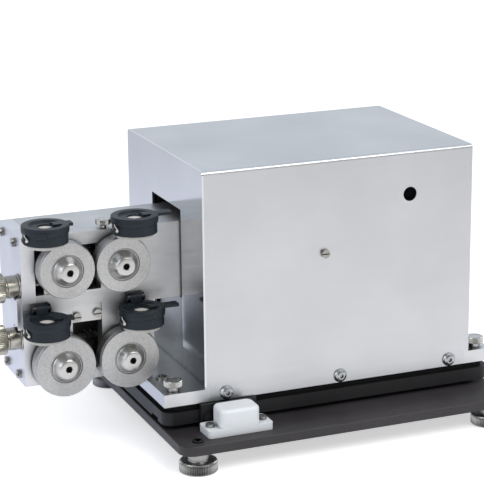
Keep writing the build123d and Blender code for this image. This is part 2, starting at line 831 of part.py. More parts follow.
for pair in ("upper", "lower"):
    x, z = axes[f"{pair}_left"]
    low, high = window_limits[pair]
    carrier_x = (x - carrier_left_of_axis, x + carrier_right[pair])
    with BuildPart() as carrier:
        slab(carrier_x, (arm_front_y + carrier_face_set_back, wall_back_y + carrier_clearance),
             (low + carrier_clearance, high - carrier_clearance))
        slab(carrier_x, (wall_back_y + carrier_clearance, at_y(carrier_back)),
             (low - carrier_lip, high + carrier_lip))
        rod_y(x, z, (arm_front_y, at_y(carrier_back)), spindle_bore, Mode.SUBTRACT)
        rod((carrier_x[0], knob_y, knob_axes[pair]), (1, 0, 0), knob_screw_radius + running_clearance,
            knob_screw_engagement + gap_travel, Mode.SUBTRACT)
    keep(carrier.part, f"carrier_{pair}")

# Gap knobs: ribbed collar, fluted grip and a screw through the end plate into the carrier
for pair in ("upper", "lower"):
    z = knob_axes[pair]
    screw_tip = axes[f"{pair}_left"][0] - carrier_left_of_axis + knob_screw_engagement
    collar_x = arm_left - knob_collar_length
    grip_x = collar_x - knob_grip_length
    collar, grip = knob_collar_diameter / 2, knob_grip_diameter / 2
    with BuildPart() as knob:
        turned_x(knob_y, z, [
            (grip_x, 0), (grip_x, grip - knob_edge_chamfer), (grip_x + knob_edge_chamfer, grip),
            (collar_x, grip), (collar_x, collar),
            (arm_left, collar), (arm_left, knob_screw_radius),
            (screw_tip, knob_screw_radius), (screw_tip, 0),
        ])
        with BuildSketch(Plane.YZ.offset(grip_x)) as cutters:
            with Locations((knob_y, z)):
                with PolarLocations(grip, knob_flutes):
                    RegularPolygon(knob_flute_radius, 4)
        extrude(cutters.sketch, amount=knob_grip_length, mode=Mode.SUBTRACT)
    keep(knob.part, f"knob_{pair}")

# Wheels: drum with a stepped front disc, hollow at the back, and a nosed hub
wheel_sizes = {
    "upper": (upper_disc_diameter / 2, upper_drum_diameter / 2),
    "lower": (lower_disc_diameter / 2, lower_drum_diameter / 2),
}
face_y = at_y(wheel_face)
drum_back_y = at_y(drum_back)
nose_y = face_y - hub_length


def wheel(name):
    """One wheel with its bore closed in front by the hub's screw seat."""
    x, z = axes[name]
    disc, drum = wheel_sizes[name.split("_")[0]]
    hub, nose, sleeve = hub_diameter / 2, hub_nose_diameter / 2, hub_sleeve_diameter / 2
    edge = wheel_edge_chamfer
    web_y = face_y + disc_thickness + drum_web
    with BuildPart() as piece:
        turned_y(x, z, [
            (hub_screw_diameter / 2, nose_y), (nose, nose_y),
            (hub - hub_groove_width, face_y - hub_shoulder_height), (hub, face_y - hub_rim_height),
            (hub, face_y + hub_recess), (hub + hub_groove_width, face_y + hub_recess),
            (hub + hub_groove_width, face_y), (disc - edge, face_y), (disc, face_y + edge),
            (disc, face_y + disc_thickness), (drum, face_y + disc_thickness + edge), (drum, drum_back_y),
            (drum_bore_diameter / 2, drum_back_y), (drum_bore_diameter / 2, web_y),
            (sleeve, web_y), (sleeve, drum_back_y), (spindle_radius, drum_back_y),
            (spindle_radius, nose_y + hub_screw_depth), (hub_screw_diameter / 2, nose_y + hub_screw_depth),
        ])
    return keep(piece.part, f"wheel_{name}")


for name in axes:
    wheel(name)

# Spindles with their gears and belt pulleys
spindle_front = nose_y + hub_screw_depth


def pulley(x, z, y_range, radius):
    """Add a flat pulley with two flanges."""
    y0, y1 = y_range
    rod_y(x, z, (y0, y1), radius)
    for y in (y0, y1 - flange_thickness):
        rod_y(x, z, (y, y + flange_thickness), radius + flange_rise)


belt_pulley_y = (at_y(belt_pulley_front), at_y(belt_pulley_front + belt_pulley_width))
motor_pulley_y = (at_y(motor_pulley_front), at_y(motor_pulley_front + motor_pulley_width))

for name, (x, z) in axes.items():
    pair, side = name.split("_")
    with BuildPart() as spindle:
        end = gear_y[1] if side == "left" else arm_back_y - 2 * spindle_end_gap
        rod_y(x, z, (spindle_front, end), spindle_radius)
        gear_blank(x, z, pitch_radii[pair], 0 if side == "right" else 0.5)
        if side == "right":
            pulley(x, z, belt_pulley_y, belt_pulley_radius)
        if name == "upper_right":
            pulley(x, z, motor_pulley_y, driven_pulley_radius)
    keep(spindle.part, f"spindle_{name}")


def belt_loop(ends, radii, y_range):
    """Add a flat belt around two pulleys."""
    (x0, z0), (x1, z1) = ends
    for grow, mode in ((belt_running_gap + belt_thickness, Mode.ADD), (belt_running_gap, Mode.SUBTRACT)):
        with BuildSketch(Plane.XZ.offset(-y_range[1])) as outline:
            with BuildLine():
                CenterArc((x0, z0), radii[0] + grow, 0, 360)
                CenterArc((x1, z1), radii[1] + grow, 0, 360)
            make_hull()
        extrude(outline.sketch, amount=y_range[1] - y_range[0], mode=mode)


belt_y = tuple(
    y + sign * (flange_thickness + belt_side_gap) for y, sign in zip(belt_pulley_y, (1, -1))
)
motor_belt_y = tuple(
    y + sign * (flange_thickness + belt_side_gap) for y, sign in zip(motor_pulley_y, (1, -1))
)

with BuildPart() as drive_belt:
    upper, lower = axes["upper_right"], axes["lower_right"]
    belt_loop((upper, lower), (belt_pulley_radius, belt_pulley_radius), belt_y)
    run_length = hypot(upper[0] - lower[0], upper[1] - lower[1])
    run_angle = atan2(upper[1] - lower[1], upper[0] - lower[0])
    belt_outside = belt_pulley_radius + belt_running_gap + belt_thickness
    rib_offset = belt_outside + (belt_rib_height - belt_rib_root) / 2
    rib_count = int(run_length / belt_rib_pitch)
    with BuildSketch(Plane.XZ.offset(-belt_y[1])) as ribs:
        for side in (-1, 1):
            for rib in range(rib_count + 1):
                along = run_length / 2 + (rib - rib_count / 2) * belt_rib_pitch
                rib_x = lower[0] + along * cos(run_angle) - side * rib_offset * sin(run_angle)
                rib_z = lower[1] + along * sin(run_angle) + side * rib_offset * cos(run_angle)
                with Locations(Location((rib_x, rib_z), degrees(run_angle))):
                    Rectangle(belt_rib_width, belt_rib_height + belt_rib_root)
    extrude(ribs.sketch, amount=belt_y[1] - belt_y[0])
keep(drive_belt.part, "drive_belt")

with BuildPart() as motor_belt:
    belt_loop((axes["upper_right"], (motor_axis_x, motor_axis_z)),
              (driven_pulley_radius, motor_pulley_radius), motor_belt_y)
keep(motor_belt.part, "motor_belt")

# Motor on the back of the arm, inside the housing, and its pulley with the shaft
with BuildPart() as motor:
    with BuildSketch(Plane.XZ.offset(-arm_back_y - motor_flange_thickness)):
        with Locations((motor_axis_x, motor_axis_z)):
            RectangleRounded(motor_flange, motor_flange, motor_corner)
    extrude(amount=motor_flange_thickness)
    rod_y(motor_axis_x, motor_axis_z, (arm_back_y, back_in - motor_rear_clearance), motor_diameter / 2)
    rod_y(motor_axis_x, motor_axis_z, (arm_back_y, arm_back_y + motor_shaft_engagement),
          motor_shaft_radius + running_clearance, Mode.SUBTRACT)
keep(motor.part, "motor")

with BuildPart() as motor_pulley:
    pulley(motor_axis_x, motor_axis_z, motor_pulley_y, motor_pulley_radius)
    shaft_end = arm_back_y + motor_shaft_engagement - spindle_end_gap
    rod_y(motor_axis_x, motor_axis_z, (motor_pulley_y[0], shaft_end), motor_shaft_radius)
keep(motor_pulley.part, "motor_pulley")

# Load cell between the deck and the arm: foot, bored bending beam and top pad in one piece
cell_x = (at_x(cell_left), at_x(cell_left + cell_length))
cell_beam_z = (at_z(cell_foot_height), at_z(cell_foot_height + cell_beam_height))
cell_middle_y = arm_front_y + arm_depth / 2
cell_y = (cell_middle_y - cell_width / 2, cell_middle_y + cell_width / 2)
cell_hole_z = sum(cell_beam_z) / 2
cell_hole_x = (cell_x[0] + cell_foot_length, cell_x[1] - cell_foot_length)

with BuildPart() as load_cell:
    slab(cell_x, cell_y, cell_beam_z)
    slab((cell_x[0], cell_hole_x[0]), cell_y, (deck_top, cell_beam_z[0]))
    slab((cell_hole_x[1], cell_x[1]), cell_y, (cell_beam_z[1], arm_bottom_z))
    for x in cell_hole_x:
        rod_y(x, cell_hole_z, cell_y, cell_hole_diameter / 2, Mode.SUBTRACT)
    slab(cell_hole_x, cell_y, (cell_hole_z - cell_slot_height / 2, cell_hole_z + cell_slot_height / 2),
         Mode.SUBTRACT)
keep(load_cell.part, "load_cell")

# Felt holders: a black cap with lug and tab, hinged on a pin beside it, and a felt that fits the wheel
cap_radius = cap_diameter / 2
lip = cap_radius + cap_lip_overhang
cap_y = at_y(cap_depth)
hinge_pin_radius = hinge_pin_diameter / 2
barrel_radius = hinge_barrel_diameter / 2
lug_half = hinge_lug_width / 2
ear_inside = lug_half + hinge_side_gap
ear_outside = ear_inside + hinge_ear_width
tab_y = (cap_y - tab_width / 2, cap_y + tab_width / 2)


def cap_place(name):
    """Axis X and underside Z of a cap above its wheel."""
    x, z = axes[name]
    pair = name.split("_")[0]
    return x + holder_offsets[name], z + wheel_sizes[pair][1] + holder_rise[pair]


def hinge_place(name):
    """Y and Z of the pin a cap swings up on: behind it on the arm, or above its rear edge."""
    if name.startswith("upper"):
        return at_y(upper_hinge_depth), arm_top_z + upper_hinge_rise
    return at_y(lower_hinge_depth), cap_place(name)[1] + cap_height + lower_hinge_rise


for name, tab_length in tab_lengths.items():
    pair = name.split("_")[0]
    x, low = cap_place(name)
    high = low + cap_height
    hinge_y, hinge_z = hinge_place(name)
    lug_x = (x - lug_half, x + lug_half)
    with BuildPart() as cap:
        if pair == "upper":
            slab(lug_x, (cap_y, hinge_y), (hinge_z - barrel_radius, hinge_z + barrel_radius))
        else:
            slab(lug_x, (hinge_y - barrel_radius, hinge_y + barrel_radius), (high - cap_lip_rise, hinge_z))
        rod_x(hinge_y, hinge_z, lug_x, barrel_radius)
        slab((x, x + cap_radius + tab_length), tab_y, (high - tab_thickness, high))
        turned_z(x, cap_y, [
            (0, low), (cap_radius, low), (cap_radius, high - cap_lip_rise),
            (lip, high - cap_lip_rise), (lip, high - cap_edge_chamfer),
            (lip - cap_edge_chamfer, high), (cap_dish_diameter / 2 + cap_dish_depth, high),
            (cap_dish_diameter / 2, high - cap_dish_depth), (0, high - cap_dish_depth),
        ])
        rod_z(x, cap_y, (low, high - cap_wall), cap_radius - cap_wall, Mode.SUBTRACT)
        rod_z(x, cap_y, (low, high), cap_hole_diameter / 2, Mode.SUBTRACT)
        rod_x(hinge_y, hinge_z, lug_x, hinge_pin_radius + running_clearance, Mode.SUBTRACT)
    keep(cap.part, f"cap_{name}")

    wheel_x, wheel_z = axes[name]
    drum = wheel_sizes[pair][1]
    with BuildPart() as felt:
        rod_z(x, cap_y, (high - cap_wall - felt_depth - holder_rise[pair], high - cap_wall),
              cap_radius - cap_wall - felt_clearance)
        rod_y(wheel_x, wheel_z, (nose_y, wall_back_y), drum + felt_wheel_gap, Mode.SUBTRACT)
    keep(felt.part, f"felt_{name}")

# Hinge ears and pins of the holders: the upper two stand on the arm, the lower two on its front
with BuildPart() as holder_hinges:
    for name in tab_lengths:
        x = cap_place(name)[0]
        hinge_y, hinge_z = hinge_place(name)
        for ear_x in ((x - ear_outside, x - ear_inside), (x + ear_inside, x + ear_outside)):
            rod_x(hinge_y, hinge_z, ear_x, barrel_radius)
            if name.startswith("upper"):
                slab(ear_x, (hinge_y - barrel_radius, hinge_y + barrel_radius), (arm_top_z, hinge_z))
            else:
                slab(ear_x, (hinge_y, arm_front_y), (hinge_z - barrel_radius, hinge_z + barrel_radius))
        if name.startswith("upper"):
            slab((x - ear_outside, x + ear_outside), (hinge_y - barrel_radius, hinge_y + barrel_radius),
                 (arm_top_z, arm_top_z + hinge_foot_thickness))
        rod_x(hinge_y, hinge_z, (x - ear_outside, x + ear_outside), hinge_pin_radius)
keep(holder_hinges.part, "holder_hinges")


def thumb_screw(name, x, y, levels, radii, count, flute_radius):
    """Fluted head on a neck and a plain shank; levels run up from the shank's end."""
    shank_end, seat, neck_top, head_top = levels
    shank, neck, head = radii
    edge = thumb_edge_chamfer
    with BuildPart() as screw:
        turned_z(x, y, [
            (0, shank_end), (shank, shank_end), (shank, seat), (neck, seat), (neck, neck_top),
            (head - edge, neck_top), (head, neck_top + edge), (head, head_top - edge),
            (head - edge, head_top), (0, head_top),
        ])
        flutes_z(x, y, (neck_top, head_top), head, count, flute_radius)
    return keep(screw.part, name)


for name, (side_x, side_y) in foot_places.items():
    thumb_screw(
        name.replace("foot", "thumb"), side_x * thumb_x, carriage_middle_y + side_y * thumb_y,
        (deck_top - thumb_shank_length, deck_top, deck_top + thumb_neck_height,
         deck_top + thumb_neck_height + thumb_head_height),
        (thumb_shank_diameter / 2, thumb_neck_diameter / 2, thumb_head_diameter / 2),
        thumb_flutes, thumb_flute_radius,
    )

thumb_screw(
    "thumb_arm", *arm_thumb_place,
    (arm_top_z - arm_thumb_shank_length, arm_top_z, arm_top_z + arm_thumb_neck_height,
     arm_top_z + arm_thumb_neck_height + arm_thumb_head_height),
    (arm_thumb_shank_diameter / 2, arm_thumb_neck_diameter / 2, arm_thumb_head_diameter / 2),
    thumb_flutes, thumb_flute_radius / 2,
)
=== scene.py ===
"""Looks of the haul-off rheometer: camera, light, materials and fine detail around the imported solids."""

import math

import bmesh
import bpy
from mathutils import Matrix, Vector


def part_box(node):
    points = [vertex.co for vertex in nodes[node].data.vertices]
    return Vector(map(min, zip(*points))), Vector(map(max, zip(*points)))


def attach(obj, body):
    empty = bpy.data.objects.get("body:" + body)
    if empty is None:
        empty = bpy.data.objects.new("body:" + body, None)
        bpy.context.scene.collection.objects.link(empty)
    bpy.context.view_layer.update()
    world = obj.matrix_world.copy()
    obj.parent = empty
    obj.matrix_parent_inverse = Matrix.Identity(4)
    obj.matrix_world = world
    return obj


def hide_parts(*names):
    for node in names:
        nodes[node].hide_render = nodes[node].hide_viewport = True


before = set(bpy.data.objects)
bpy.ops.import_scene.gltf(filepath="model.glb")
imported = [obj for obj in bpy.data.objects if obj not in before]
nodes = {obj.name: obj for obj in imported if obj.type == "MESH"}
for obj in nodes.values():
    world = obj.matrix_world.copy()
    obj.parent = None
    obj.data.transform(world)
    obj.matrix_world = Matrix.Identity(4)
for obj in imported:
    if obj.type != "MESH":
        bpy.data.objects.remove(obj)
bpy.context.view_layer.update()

mm = 0.001
unscaled = (1, 1, 1)
wheel_places = ("upper_left", "upper_right", "lower_left", "lower_right")
corners = ("front_left", "front_right", "rear_left", "rear_right")


# Shader node helpers

noise_range = (0.3, 0.7)  # where most noise values lie
# Reach and strength of the painted shade in creases
crease_reach = 0.006
crease_depth = 0.55
blotch_scale = 30.0
plastic_blotch_scale = 25.0
grit_scale = 1100.0


def add(tree, kind, links=None, values=None, **settings):
    """Add a shader node: set its settings and socket values, then link sockets into it."""
    made = tree.nodes.new(f"ShaderNode{kind}")
    for key, value in settings.items():
        setattr(made, key, value)
    for socket, value in (values or {}).items():
        made.inputs[socket].default_value = value
    for socket, source in (links or {}).items():
        tree.links.new(source, made.inputs[socket])
    return made


def new_material(name):
    """An empty node material with its Principled shader."""
    material = bpy.data.materials.new(name)
    material.use_nodes = True
    tree = material.node_tree
    tree.nodes.clear()
    shader = add(tree, "BsdfPrincipled")
    add(tree, "OutputMaterial", {0: shader.outputs[0]})
    return material, tree, shader


def object_coordinates(tree, scale):
    """Object-space coordinates stretched by a scale per axis."""
    source = add(tree, "TexCoord").outputs["Object"]
    return add(tree, "Mapping", {"Vector": source}, {"Scale": scale}).outputs[0]


def noise(tree, coordinates, scale, detail):
    """A noise value from 0 to 1."""
    return add(tree, "TexNoise", {"Vector": coordinates}, {"Scale": scale, "Detail": detail}).outputs[0]


def remap(tree, value, source, target):
    """Map one range of values onto another."""
    limits = dict(zip(("From Min", "From Max", "To Min", "To Max"), (*source, *target)))
    return add(tree, "MapRange", {"Value": value}, limits).outputs[0]


def spread(tree, value, low, high):
    """Map a noise value onto a range."""
    return remap(tree, value, noise_range, (low, high))


def blend(tree, value, positions, first, second):
    """Run from one colour to another between two positions of a value."""
    ramp = add(tree, "ValToRGB", {0: value})
    for element, position, colour in zip(ramp.color_ramp.elements, positions, (first, second)):
        element.position = position
        element.color = (*colour, 1)
    return ramp.outputs[0]


def tint(tree, value, dark, light):
    """Blend two colours by a noise value."""
    return blend(tree, value, noise_range, dark, light)


def scaled(tree, colour, share):
    """Multiply a colour by a value."""
    return add(tree, "VectorMath", {0: colour, "Scale": share}, operation="SCALE").outputs[0]


def mixed(tree, share, first, second, kind):
    """First value where the share is 0, second where it is 1, both of kind FLOAT or RGBA."""
    return add(tree, "Mix", {0: share, "A": first, "B": second}, data_type=kind).outputs["Result"]


def left_of(tree, edge):
    """1 left of a place along X in object space, 0 right of it."""
    split = add(tree, "SeparateXYZ", {0: add(tree, "TexCoord").outputs["Object"]})
    return add(tree, "Math", {0: split.outputs["X"]}, {1: edge}, operation="LESS_THAN").outputs[0]


def relief(tree, shader, value, distance):
    """Bump a surface by a noise value."""
    bump = add(tree, "Bump", {"Height": value}, {"Distance": distance, "Strength": 1.0})
    tree.links.new(bump.outputs[0], shader.inputs["Normal"])


def painted_crease_shade(tree, colour):
    """Colour darkened by painted shade in creases and round seams, from an ambient occlusion node."""
    crease = add(tree, "AmbientOcclusion", values={"Distance": crease_reach}, samples=8)
    return scaled(tree, colour, spread(tree, crease.outputs["AO"], 1.0 - crease_depth, 1.0))


# Materials

def metal(name, dark, light, rough, grain, grain_scale, bump, speckle=0.0):
    """Metal with a machined or blasted grain in its colour, roughness and relief, and painted shade in its
    creases.
    """
    material, tree, shader = new_material(name)
    shader.inputs["Metallic"].default_value = 1.0
    fine = noise(tree, object_coordinates(tree, grain), grain_scale, 4.0)
    blotches = noise(tree, object_coordinates(tree, unscaled), blotch_scale, 3.0)
    colour = tint(tree, blotches, dark, light)
    if speckle:
        grit = noise(tree, object_coordinates(tree, unscaled), grit_scale, 2.0)
        colour = scaled(tree, colour, spread(tree, grit, 1.0 - 2 * speckle, 1.0 + 2 * speckle))
    # Base colour with painted shade in creases
    tree.links.new(painted_crease_shade(tree, colour), shader.inputs["Base Color"])
    tree.links.new(spread(tree, fine, *rough), shader.inputs["Roughness"])
    relief(tree, shader, fine, bump)
    return material


def solid_plastic(name, dark, light, rough, grain_scale=900.0, specular=0.5, bump=0.00003, sheen=0.0):
    """Moulded plastic, rubber, felt or paint with a fine grain, and painted shade in its creases."""
    material, tree, shader = new_material(name)
    coordinates = object_coordinates(tree, unscaled)
    fine = noise(tree, coordinates, grain_scale, 3.0)
    blotches = noise(tree, coordinates, plastic_blotch_scale, 3.0)
    # Base colour with painted shade in creases
    tree.links.new(painted_crease_shade(tree, tint(tree, blotches, dark, light)), shader.inputs["Base Color"])
    tree.links.new(spread(tree, blotches, *rough), shader.inputs["Roughness"])
    shader.inputs["Sheen Weight"].default_value = sheen
    shader.inputs["Specular IOR Level"].default_value = specular
    relief(tree, shader, fine, bump)
    return material


def cover_sheet(name):
    """Brushed sheet whose left side is nearly polished, and coloured lighter and bluer there as a painted
    reflection.
    """
    material, tree, shader = new_material(name)
    shader.inputs["Metallic"].default_value = 1.0
    side = left_of(tree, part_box("cover")[0][0] + 1.2 * mm)
    blotches = noise(tree, object_coordinates(tree, unscaled), 14.0, 3.0)
    brushed = noise(tree, object_coordinates(tree, (3, 3, 420)), 6.0, 5.0)
    front = tint(tree, blotches, (0.53, 0.535, 0.54), (0.585, 0.59, 0.60))
    # Left side colour: painted reflection, lighter and bluer; its lower roughness below is the real polish
    polished_side_painted_reflection = tint(tree, blotches, (0.60, 0.605, 0.62), (0.66, 0.665, 0.68))
    tree.links.new(mixed(tree, side, front, polished_side_painted_reflection, "RGBA"), shader.inputs["Base Color"])
    rough_front = spread(tree, brushed, 0.30, 0.40)
    rough_side = spread(tree, blotches, 0.08, 0.13)
    tree.links.new(mixed(tree, side, rough_front, rough_side, "FLOAT"), shader.inputs["Roughness"])
    relief(tree, shader, brushed, 0.000004)
    return material


# Dark and light colour, roughness from and to, grain stretch and scale, relief in metres, speckle
metals = {
    "plate_metal": ((0.56, 0.565, 0.57), (0.66, 0.665, 0.67), (0.30, 0.36), (4, 60, 60), 5.0, 0.000001),
    "arm_metal": ((0.50, 0.50, 0.50), (0.60, 0.60, 0.595), (0.40, 0.50), (8, 60, 60), 8.0, 0.000002),
    # The side plate's metal is darkened as painted shade and painted dark reflection
    "side_metal_painted_shade": ((0.19, 0.188, 0.185), (0.26, 0.258, 0.255), (0.26, 0.32), (24, 24, 6), 6.0, 0.0000005),
    "milled": ((0.46, 0.46, 0.46), (0.56, 0.56, 0.55), (0.32, 0.42), (60, 60, 60), 12.0, 0.000003),
    # A lighter copy of the milled metal: painted light on the left-facing end plates and the saddle
    "milled_painted_light": ((0.60, 0.60, 0.62), (0.70, 0.70, 0.72), (0.32, 0.42), (60, 60, 60), 12.0, 0.000003),
    "turned": ((0.44, 0.43, 0.41), (0.58, 0.57, 0.55), (0.24, 0.34), (30, 30, 300), 4.0, 0.000002),
    "knob_metal": ((0.40, 0.385, 0.33), (0.54, 0.52, 0.46), (0.28, 0.38), (900, 8, 8), 3.0, 0.0000005),
    "wheel_face": (
        (0.43, 0.425, 0.42), (0.54, 0.535, 0.525), (0.42, 0.54), (90, 90, 90), 16.0, 0.000004, 0.07,
    ),
    "foot_metal": ((0.36, 0.355, 0.34), (0.50, 0.495, 0.475), (0.26, 0.36), (30, 30, 300), 4.0, 0.000002),
    "hub_metal": ((0.46, 0.45, 0.43), (0.60, 0.59, 0.57), (0.27, 0.37), (10, 400, 10), 5.0, 0.0000005),
    "aged_metal": ((0.30, 0.285, 0.265), (0.42, 0.405, 0.385), (0.26, 0.38), (60, 60, 60), 10.0, 0.000004),
    "screw_metal": ((0.36, 0.36, 0.36), (0.50, 0.50, 0.50), (0.20, 0.34), (60, 60, 60), 10.0, 0.00002),
    "dark_steel": ((0.030, 0.030, 0.032), (0.055, 0.055, 0.058), (0.30, 0.42), (60, 60, 60), 10.0, 0.00002),
}
# Dark and light colour, roughness from and to, grain scale, specular, relief in metres, sheen
plastics = {
    "base_black": ((0.030, 0.027, 0.029), (0.048, 0.043, 0.046), (0.42, 0.54), 900.0, 0.35),
    "carriage_black": ((0.016, 0.016, 0.017), (0.026, 0.026, 0.027), (0.38, 0.50), 900.0, 0.2),
    "cap_black": ((0.008, 0.013, 0.018), (0.015, 0.022, 0.030), (0.40, 0.52), 1500.0, 0.3),
    "felt_white": ((0.62, 0.60, 0.56), (0.78, 0.76, 0.72), (0.85, 0.95), 1800.0, 0.5, 0.0002, 0.4),
    "switch_white": ((0.84, 0.87, 0.89), (0.89, 0.92, 0.94), (0.32, 0.42), 1200.0),
    # Black rubber of the damping mat, darkened to near black as painted shadow under the deck
    "rubber_black_painted_shadow": ((0.003, 0.003, 0.003), (0.006, 0.006, 0.006), (0.60, 0.75), 1400.0, 0.2),
    "ribbed_belt": ((0.016, 0.016, 0.017), (0.030, 0.030, 0.031), (0.50, 0.65), 1400.0),
    "wire_pale": ((0.60, 0.58, 0.52), (0.72, 0.70, 0.64), (0.35, 0.45)),
}
materials = {name: metal(name, *values) for name, values in metals.items()}
materials |= {name: solid_plastic(name, *values) for name, values in plastics.items()}
materials["cover_sheet"] = cover_sheet("cover_sheet")

# Nodes by their full name or their first word; all others are milled
node_looks = {
    "plate_metal": ("deck_plate",),
    "arm_metal": ("arm_body", "arm_back"),
    "side_metal_painted_shade": ("side_plate",),
    "milled_painted_light": ("end", "joint_saddle"),
    "turned": ("deck_bushes", "guide_rails", "foot", "thumb", "spindle", "idler", "motor_pulley"),
    "knob_metal": ("knob",),
    "wheel_face": ("wheel",),
    "aged_metal": ("slotted_screws",),
    "screw_metal": ("keeper_screws", "switch_screws", "cover_screws", "cable_socket"),
    "dark_steel": ("holder_hinges",),
    "base_black": ("base_plate",),
    "carriage_black": ("carriage_plate", "actuator", "motor"),
    "cap_black": ("cap",),
    "felt_white": ("felt",),
    "switch_white": ("switch_block",),
    "rubber_black_painted_shadow": ("damping_mat",),
    "ribbed_belt": ("drive_belt", "motor_belt"),
    "cover_sheet": ("cover",),
}
looks = {key: look for look, keys in node_looks.items() for key in keys}
for name, piece in nodes.items():
    look = looks.get(name) or looks.get(name.split("_")[0], "milled")
    for slot in piece.material_slots:
        slot.material = materials[look]


# Turned pieces, in millimetres

sharp_edge = math.radians(32)
longest_cut = 0.4  # most of a side that a rounded corner may take


def ridges(count, depth):
    """Shape of a straight knurl: pointed ridges that reach a radius."""
    def shape(angle, radius):
        phase = (angle * count / (2 * math.pi)) % 1.0
        return radius - depth * abs(2 * phase - 1)
    return shape


def hexagon(angle, radius):
    """Radius on a hexagon whose flats are two radii apart."""
    sector = math.pi / 3
    return radius / math.cos((angle % sector) - sector / 2)


def finish_piece(name, bm, look, body, replaced=()):
    """Turn a bmesh into a shown piece that rides on a body."""
    bmesh.ops.remove_doubles(bm, verts=bm.verts, dist=1e-7)
    bmesh.ops.recalc_face_normals(bm, faces=bm.faces)
    for face in bm.faces:
        face.smooth = True
    for edge in bm.edges:
        if len(edge.link_faces) == 2 and edge.calc_face_angle() > sharp_edge:
            edge.smooth = False
    mesh = bpy.data.meshes.new(name)
    bm.to_mesh(mesh)
    bm.free()
    mesh.materials.append(materials[look])
    piece = bpy.data.objects.new(name, mesh)
    bpy.context.collection.objects.link(piece)
    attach(piece, body)
    if replaced:
        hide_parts(*replaced)


def lathe(name, profile, centre, axis, segments, look, body, replaced=()):
    """A turned piece from (radius, along, shape) rows about an axis through a centre in metres."""
    bm = bmesh.new()
    rings = []
    for radius, along, shape in profile:
        ring = []
        for step in range(segments):
            angle = 2 * math.pi * step / segments
            r = (shape(angle, radius) if shape else radius) * mm
            u, v, w = r * math.cos(angle), r * math.sin(angle), along * mm
            offset = {"X": (w, u, v), "Y": (u, w, v), "Z": (u, v, w)}[axis]
            ring.append(bm.verts.new(Vector(centre) + Vector(offset)))
        rings.append(ring)
    for lower, upper in zip(rings, rings[1:]):
        for step in range(segments):
            after = (step + 1) % segments
            bm.faces.new((lower[step], lower[after], upper[after], upper[step]))
    finish_piece(name, bm, look, body, replaced)


def rounded(points, size):
    """Plain profile rows with every corner cut by two points."""
    rows = [(*points[0], None)]
    for before, here, after in zip(points, points[1:], points[2:]):
        for other in (before, after):
            length = math.hypot(other[0] - here[0], other[1] - here[1])
            share = min(size / length, longest_cut)
            rows.append((*(a + (b - a) * share for a, b in zip(here, other)), None))
    rows.append((*points[-1], None))
    return rows


def knurled_rows(radius, bottom, top, count, depth, edge):
    """Rows of a knurled rim with chamfered edges."""
    ridge = ridges(count, depth)
    return [
        (radius - depth - edge, bottom, None), (radius - edge * 0.6, bottom + edge * 0.4, ridge),
        (radius, bottom + edge, ridge), (radius, top - edge, ridge),
        (radius - edge * 0.6, top - edge * 0.4, ridge), (radius - depth - edge, top, None),
    ]


def extent(node, axis):
    """Length of a node along an axis, in millimetres."""
    low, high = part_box(node)
    index = "XYZ".index(axis)
    return (high[index] - low[index]) / mm


def node_frame(node, axis):
    """Start of a turned node's centre line: its middle across the axis, its lowest place along it."""
    low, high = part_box(node)
    centre = [(a + b) / 2 for a, b in zip(low, high)]
    centre["XYZ".index(axis)] = low["XYZ".index(axis)]
    return Vector(centre)


# Wheels: radii, then places along the axis from the nose
disc_steps = {"upper": 0.4, "lower": 0.5}
hub_radius, groove_radius, nose_radius, screw_radius = 10.0, 11.0, 5.6, 2.15
drum_bore, sleeve_radius, spindle_bore = 15.0, 7.2, 4.02
wheel_front, groove_depth, disc_back = 6.0, 6.7, 8.0
spindle_front, web_back, drum_back = 11.0, 12.0, 17.0


def build_wheel(place):
    """Blasted disc and drum, polished hub and a dark screw deep in the hub."""
    node = f"wheel_{place}"
    drum = extent(node, "X") / 2
    disc = drum - disc_steps[place.split("_")[0]]
    centre = node_frame(node, "Y")
    lathe(f"{node}_disc", rounded([
        (hub_radius, groove_depth), (groove_radius, groove_depth), (groove_radius, wheel_front),
        (disc, wheel_front), (disc, disc_back), (drum, disc_back), (drum, drum_back),
        (drum_bore, drum_back), (drum_bore, web_back), (sleeve_radius, web_back),
        (sleeve_radius, drum_back), (spindle_bore, drum_back), (spindle_bore, spindle_front),
        (2.2, spindle_front),
    ], 0.25), centre, "Y", 144, "wheel_face", node, (node,))
    lathe(f"{node}_hub", rounded([
        (screw_radius, spindle_front), (screw_radius, 0.0), (nose_radius, 0.0), (6.4, 0.5), (7.5, 1.9),
        (8.5, 3.6), (9.2, 5.0), (9.7, 5.7), (hub_radius, wheel_front), (hub_radius, groove_depth),
    ], 0.4), centre, "Y", 96, "hub_metal", node)
    lathe(f"{node}_screw", [
        (2.1, 4.9, None), (2.1, 3.2, None), (1.8, 2.9, None), (1.0, 2.9, hexagon), (1.0, 4.4, hexagon),
        (0.0, 4.5, None),
    ], centre, "Y", 48, "dark_steel", node)


for place in wheel_places:
    build_wheel(place)


# Levelling feet and thumb screws with fine straight knurls
foot_radius, foot_height, neck_top = 12.95, 8.0, 14.0
foot_ridges, foot_ridge_depth, foot_chamfer = 66, 0.8, 1.0
stud_radius, socket_radius, socket_depth = 4.0, 2.0, 4.0
deck_thumb = {"shank": (3.0, 18.0), "neck": (4.0, 3.2), "head": 6.3, "count": 40, "depth": 0.45}
arm_thumb = {"shank": (1.65, 5.0), "neck": (2.15, 2.6), "head": 5.2, "count": 36, "depth": 0.35}


